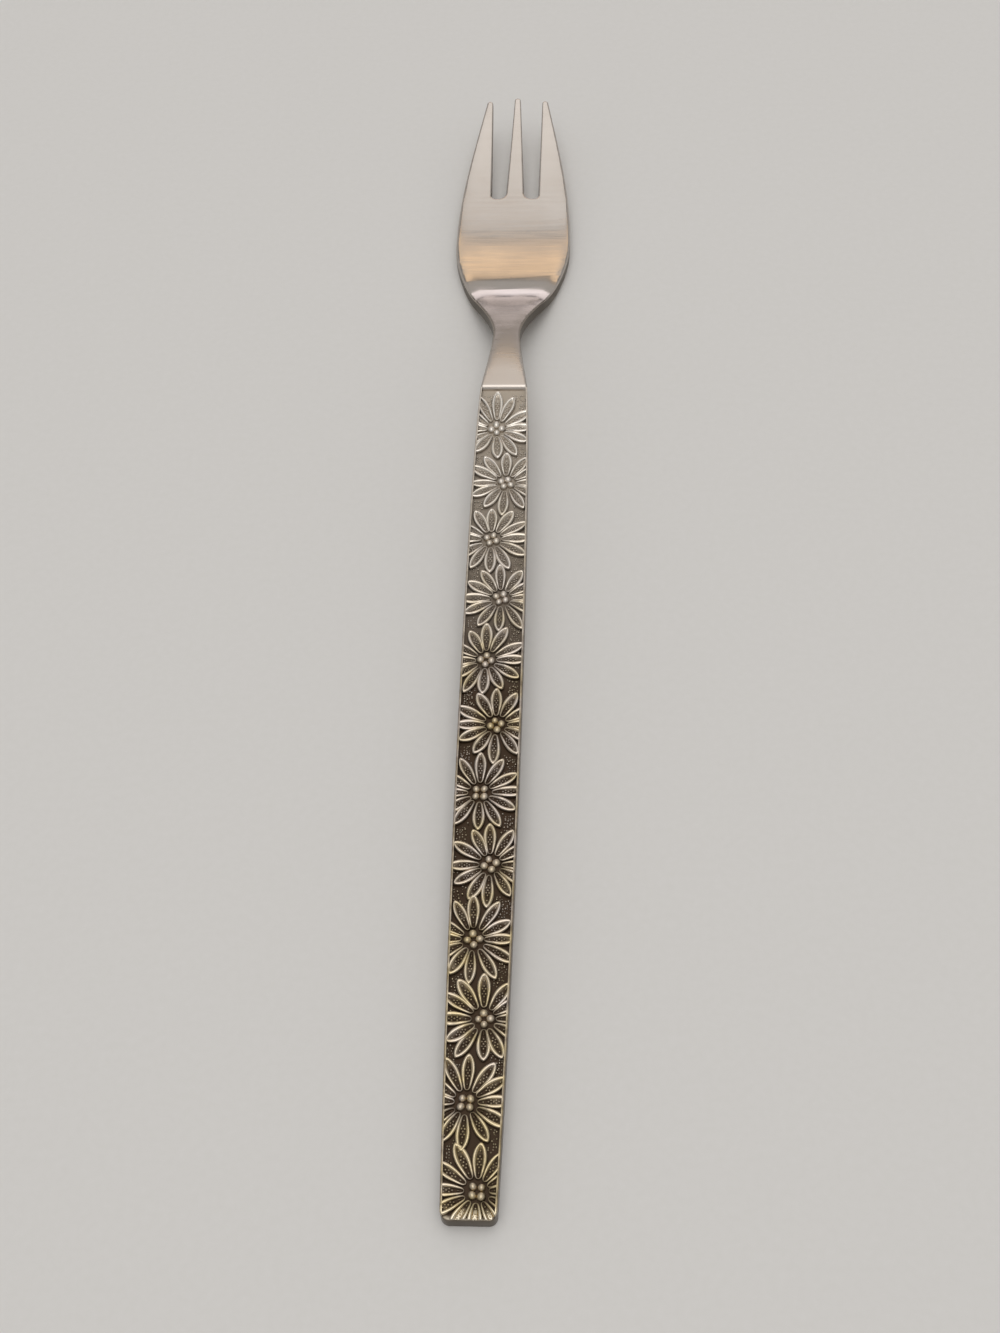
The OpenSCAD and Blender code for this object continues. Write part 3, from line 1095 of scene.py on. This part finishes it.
def toned(name, dark_below, bright_above, worn_rough=0.22):
    """Steel with a brown oxide below one height over the ground and worn bright above another, with painted
    light near the neck and a painted highlight on the butt's lip.
    """
    material, tree = new_material(name)
    place = add(tree, "ShaderNodeTexCoord").outputs["Object"]
    along = add(tree, "ShaderNodeSeparateXYZ", {0: place}).outputs["Y"]
    level = add(tree, "ShaderNodeVectorMath", {0: place, 1: panel_normal}, operation="DOT_PRODUCT")
    patches = add(tree, "ShaderNodeTexNoise", {"Vector": place, "Scale": per_metre(patch_mm)[0],
                                               "Detail": 5})
    grit = add(tree, "ShaderNodeTexNoise", {"Vector": place, "Scale": per_metre(grit_mm)[0], "Detail": 2})
    films = add(tree, "ShaderNodeTexNoise", {"Vector": place, "Scale": per_metre(film_mm)[0], "Detail": 2})
    height = add(tree, "ShaderNodeMapRange", {
        "Value": level.outputs["Value"], "From Min": ground_level + dark_below * MM,
        "From Max": ground_level + bright_above * MM}, clamp=False)
    wear = add(tree, "ShaderNodeMapRange", {"Value": patches.outputs[0], "From Min": patch_from,
                                            "From Max": patch_to, "To Min": -patch_play,
                                            "To Max": patch_play})
    # Painted highlight on the butt's lip.
    lip_highlight = add(tree, "ShaderNodeMapRange", {"Value": along, "From Min": butt_level, "From Max": lip_highlight_end,
                                           "To Min": lip_highlight_lift, "To Max": 0})
    worn = add(tree, "ShaderNodeMath", {0: wear.outputs[0], 1: lip_highlight.outputs[0]}, operation="ADD")
    bright = add(tree, "ShaderNodeMath", {0: height.outputs[0], 1: worn.outputs[0]}, operation="ADD",
                 use_clamp=True)
    # Painted light: towards the neck the oxide and the steel turn lighter.
    painted_light_to_neck = add(tree, "ShaderNodeMapRange", {"Value": along, "From Min": painted_light_from,
                                               "From Max": joint_level})
    painted_light_share = add(tree, "ShaderNodeMath", {0: lip_highlight.outputs[0], 1: lip_highlight_share, 2: painted_light_to_neck.outputs[0]},
               operation="MULTIPLY_ADD", use_clamp=True)
    fading = add(tree, "ShaderNodeMapRange", {"Value": along, "From Min": butt_level, "From Max": gold_end,
                                              "To Min": gold_most, "To Max": gold_least})
    tint = add(tree, "ShaderNodeMath", {0: films.outputs[0], 1: film_gain, 2: fading.outputs[0]},
               operation="MULTIPLY_ADD", use_clamp=True)
    steel_film = add(tree, "ShaderNodeMix", {FACTOR: tint.outputs[0], COLOUR_A: linear(gold_steel),
                                             COLOUR_B: linear(lilac_steel)}, data_type="RGBA")
    oxide_film = add(tree, "ShaderNodeMix", {FACTOR: tint.outputs[0], COLOUR_A: linear(gold_oxide),
                                             COLOUR_B: linear(lilac_oxide)}, data_type="RGBA")
    steel_tone = add(tree, "ShaderNodeMix", {
        FACTOR: painted_light_share.outputs[0], COLOUR_A: steel_film.outputs[COLOUR_OUT],
        COLOUR_B: linear(painted_light_steel)}, data_type="RGBA")
    oxide_tone = add(tree, "ShaderNodeMix", {
        FACTOR: painted_light_to_neck.outputs[0], COLOUR_A: oxide_film.outputs[COLOUR_OUT],
        COLOUR_B: linear(painted_light_oxide)}, data_type="RGBA")
    colour = add(tree, "ShaderNodeMix", {
        FACTOR: bright.outputs[0], COLOUR_A: oxide_tone.outputs[COLOUR_OUT],
        COLOUR_B: steel_tone.outputs[COLOUR_OUT]}, data_type="RGBA")
    metal = add(tree, "ShaderNodeMapRange", {"Value": bright.outputs[0], "To Min": oxide_metal,
                                             "To Max": 1})
    rough = add(tree, "ShaderNodeMapRange", {"Value": bright.outputs[0], "To Min": oxide_rough,
                                             "To Max": worn_rough})
    bump = add(tree, "ShaderNodeBump", {"Height": grit.outputs[0], "Strength": grit_strength,
                                        "Distance": grit_deep * MM})
    steel = add(tree, "ShaderNodeBsdfPrincipled", {
        "Base Color": colour.outputs[COLOUR_OUT], "Metallic": metal.outputs[0],
        "Roughness": rough.outputs[0], "Normal": bump.outputs[0]})
    add(tree, "ShaderNodeOutputMaterial", {"Surface": steel.outputs[0]})
    print(name, "is dark below", dark_below, "mm and bright above", bright_above, "mm")
    return material


# %% [markdown]
# The petals are dark on their floors and bright on their rims. The balls stand highest and are worn bright
# almost down to the ground, with a softer shine. The dots of the stipple are low, and bright only on top.

# %% Relief, balls and stipple
relief = toned("toned_stainless_relief", 0.17, 0.37)
rails = toned("worn_stainless_rails", 0.25, 0.7)
dotted = toned("toned_stainless_stipple", 0, 0.17)
beads = toned("worn_stainless_beads", -0.15, 0.15, worn_rough=0.4)

stipple.data.materials.append(dotted)
bead_reach = (bead_ring + bead_d / 2) * MM
seat_turn = Matrix.Rotation(tilt, 3, "X")
for bloom, place in zip(daisies, daisy_places):
    bloom.data.materials.append(relief)
    bloom.data.materials.append(beads)
    middle = seat_turn @ (place * MM) + bench_origin
    for face in bloom.data.polygons:
        face.material_index = int((face.center - middle).length < bead_reach)
print("faces of the last daisy's balls:", sum(face.material_index for face in bloom.data.polygons))

# %% [markdown]
# The bar has four finishes: the back is buffed, the panel is toned, the sides and the butt are rough like
# the sheared strip and darkened by painted shade, and the rails are half worn. The rails are all that looks
# up from above the ground.

# %% The bar's four finishes
BACK, PANEL, SIDES, RAILS = range(4)
RAIL_LEAN = 0.1
ground_top = ground_level + 0.1 * MM

for finish in (buffed, relief, painted_shade_steel, rails):
    bar.data.materials.append(finish)
give_finish(bar, SIDES, lambda face: abs(face.normal.dot(panel_normal)) < STEEP)
give_finish(bar, PANEL, lambda face: face.normal.dot(panel_normal) > STEEP
            and face.calc_center_median().dot(panel_normal) < ground_top)
give_finish(bar, RAILS, lambda face: face.normal.dot(panel_normal) > RAIL_LEAN
            and face.calc_center_median().dot(panel_normal) > ground_top)
bar_finishes = [face.material_index for face in bar.data.polygons]
print("faces of each finish:", [bar_finishes.count(k) for k in (BACK, PANEL, SIDES, RAILS)])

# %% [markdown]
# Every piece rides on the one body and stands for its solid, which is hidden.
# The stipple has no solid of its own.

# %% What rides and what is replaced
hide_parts("fork_head")
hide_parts("handle_bar")
for i, bloom in enumerate(daisies):
    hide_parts(f"daisy_{i + 1:02d}")
pieces = (head, bar, stipple, *daisies)
for piece in pieces:
    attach(piece, "root")
print(len(pieces), "pieces ride on the body")

# %% [markdown]
# The fork lies on a plain sheet of pale matt paper, far wider than the picture. Paper has no shine, and
# its fibres, about a millimetre long, vary its tone only faintly.

# %% The floor
floor_drop = 0.01
sheet_w = 12
fibre_mm = 0.8
bpy.ops.object.select_all(action="DESELECT")
bpy.ops.mesh.primitive_plane_add(size=sheet_w, location=(0, 0, -floor_drop * MM))
floor = bpy.context.object
floor.name = "floor"
paper, tree = new_material("pale_matt_paper")
place = add(tree, "ShaderNodeTexCoord").outputs["Object"]
fibres = add(tree, "ShaderNodeTexNoise", {"Vector": place, "Scale": per_metre(fibre_mm)[0], "Detail": 4})
shade = add(tree, "ShaderNodeMix", {FACTOR: fibres.outputs[0], COLOUR_A: linear("#dcd9d4"),
                                    COLOUR_B: linear("#e1deda")}, data_type="RGBA")
sheet = add(tree, "ShaderNodeBsdfPrincipled", {"Base Color": shade.outputs[COLOUR_OUT], "Roughness": 0.9})
add(tree, "ShaderNodeOutputMaterial", {"Surface": sheet.outputs[0]})
floor.data.materials.append(paper)
print("floor at", floor.location.z, "m")

# %% [markdown]
# Polished steel shows the room more than itself, so the room is made with care. The walls are grey, darker
# near the floor and in a thin belt below the softbox, and they are drawn in the world's background by
# height. A belt is its elevation in degrees and its grey.

# %% The room
wall_greys = [
    (0, 0.13), (3.5, 0.15), (7, 0.44), (33, 0.46), (35, 0.28),
    (36, 0.18), (42.5, 0.26), (45, 0.42), (60, 0.65), (90, 0.7),
]
scene = bpy.context.scene
world = bpy.data.worlds.new("studio")
scene.world = world
world.use_nodes = True
sky = world.node_tree
rise = add(sky, "ShaderNodeSeparateXYZ", {0: add(sky, "ShaderNodeTexCoord").outputs["Generated"]})
walls = add(sky, "ShaderNodeValToRGB", {0: rise.outputs["Z"]})
belts = walls.color_ramp.elements
while len(belts) < len(wall_greys):
    belts.new(0.5)
for belt, (elevation, grey) in zip(belts, wall_greys):
    belt.position = math.sin(math.radians(elevation))
    belt.color = (grey, grey, grey, 1)
sky.links.new(walls.outputs[0], sky.nodes["Background"].inputs["Color"])
print(len(belts), "belts of grey")

# %% [markdown]
# Four lamps light it. A wide softbox at the back is what the bowl mirrors, a narrow warm strip under it
# gives the tan band above the foot of the bowl, a low card lights the ramp, and a long box overhead draws
# the bright lines on the rims and the step. A lamp's power follows from its size and its brightness.

# %% The lamps


def soft_box(name, bearing, elevation, distance, wide, high, colour, glow):
    """An area lamp aimed at the fork; glow is how bright its face looks."""
    flat = distance * math.cos(math.radians(elevation))
    place = Vector((flat * math.sin(math.radians(bearing)), flat * math.cos(math.radians(bearing)),
                    distance * math.sin(math.radians(elevation))))
    bpy.ops.object.light_add(type="AREA", location=place)
    lamp = bpy.context.object
    lamp.name = name
    lamp.rotation_euler = place.to_track_quat("Z", "Y").to_euler()
    lamp.data.shape = "RECTANGLE"
    lamp.data.size = wide
    lamp.data.size_y = high
    lamp.data.color = linear(colour)[:3]
    lamp.data.energy = glow * math.pi * wide * high
    print(name, round(lamp.data.energy, 2), "W")


soft_box("back_softbox", 0, 58.2, 1, 1.1, 0.5, "#fdfdff", 0.36)
soft_box("warm_strip", 0, 39.2, 1, 0.55, 0.1, "#ffdcb0", 0.9)
soft_box("low_card", 0, 10.5, 1, 0.8, 0.26, "#fbf4ff", 0.85)
soft_box("overhead_box", 180, 75, 0.9, 0.68, 1.15, "#ffffff", 1.12)

# %% [markdown]
# The camera looks down at the fork from its butt, a little from the right. Its place was fitted to the
# photograph, so that the outline of the fork and the lines across it fall where they do there.

# %% The camera
camera_place = (0.01051, -0.12969, 0.15411)
camera_yaw, camera_pitch, camera_roll = (math.radians(angle) for angle in (4.974, 36.677, -3.712))
near_clip = 0.01
SENSOR_MM = 36
focal_px = 1800
image_px = 1333
bpy.ops.object.camera_add(location=camera_place)
camera = bpy.context.object
turn = Matrix.Rotation(camera_yaw, 3, "Z") @ Matrix.Rotation(camera_pitch, 3, "X")
camera.rotation_euler = (turn @ Matrix.Rotation(camera_roll, 3, "Z")).to_euler()
camera.data.lens = SENSOR_MM * focal_px / image_px
camera.data.clip_start = near_clip
scene.camera = camera
scene.view_settings.view_transform = "Standard"
print("lens", round(camera.data.lens, 1), "mm")
